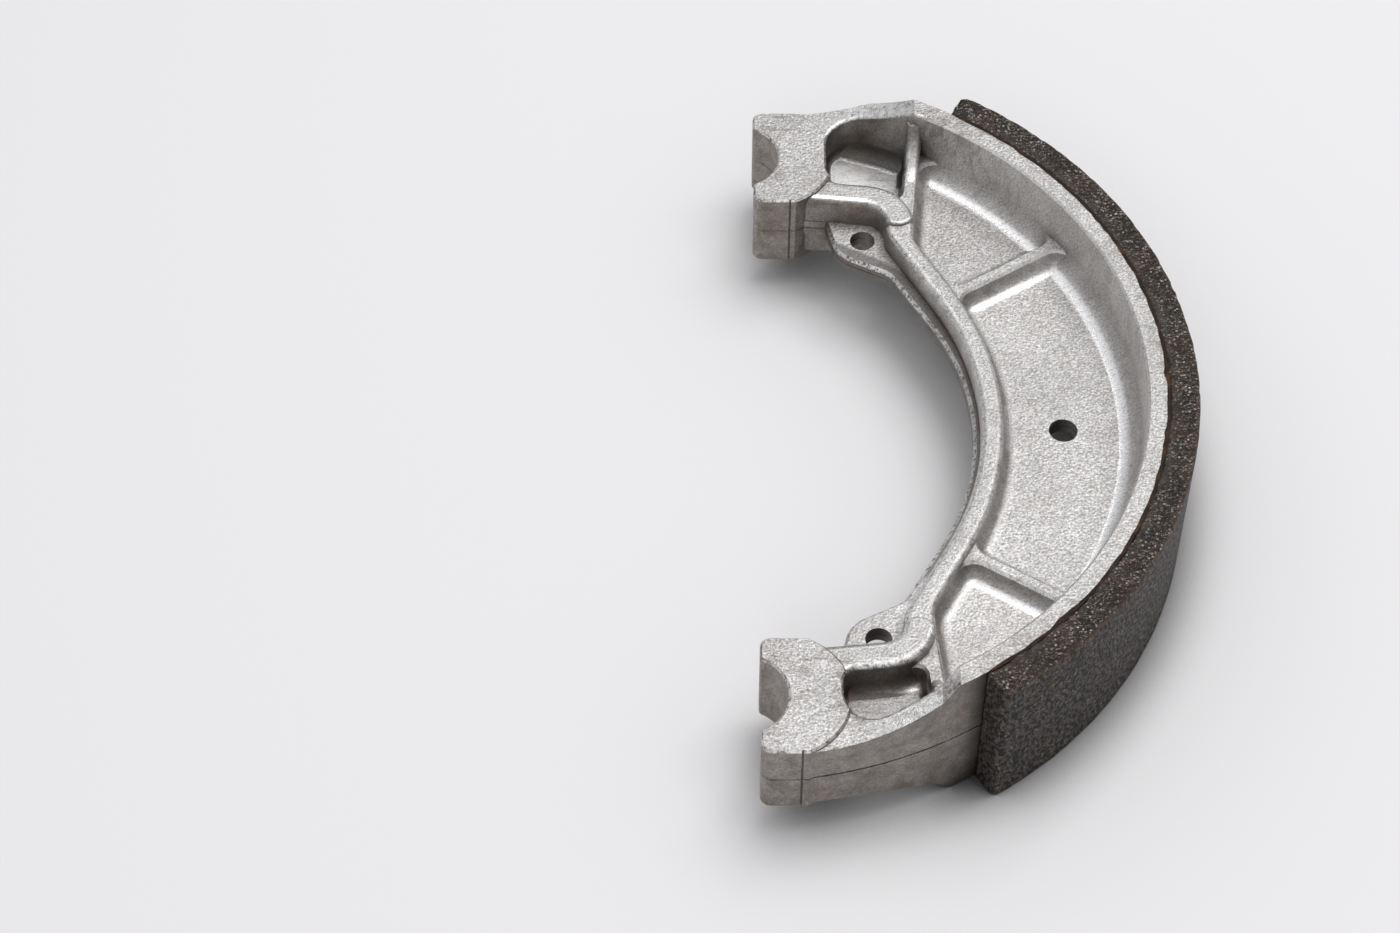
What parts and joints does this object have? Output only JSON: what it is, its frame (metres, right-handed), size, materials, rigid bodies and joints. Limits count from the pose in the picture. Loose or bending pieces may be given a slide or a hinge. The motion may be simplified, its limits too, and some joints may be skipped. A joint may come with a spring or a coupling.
{
  "type": "drum brake shoe",
  "caption": "Curved cast brake shoe with a bonded friction lining, notched pivot and cam ends, spring holes and a webbed T-section body.",
  "frame": {"origin": "drum axis at the plane the shoe lies on, which is one side of the friction lining", "axes": "+X from the drum axis to the middle of the lining, +Y along the long way of the shoe, +Z along the drum axis, up from the plane the shoe lies on"},
  "size_m": [0.0627, 0.1189, 0.025],
  "materials": {
    "cast_metal": "satin",
    "friction_material": "matte",
    "bond": "matte"
  },
  "bodies": {
    "root": {"shoe_casting": "cast_metal", "friction_lining": "friction_material", "adhesive_film": "bond"}
  },
  "joints": []
}
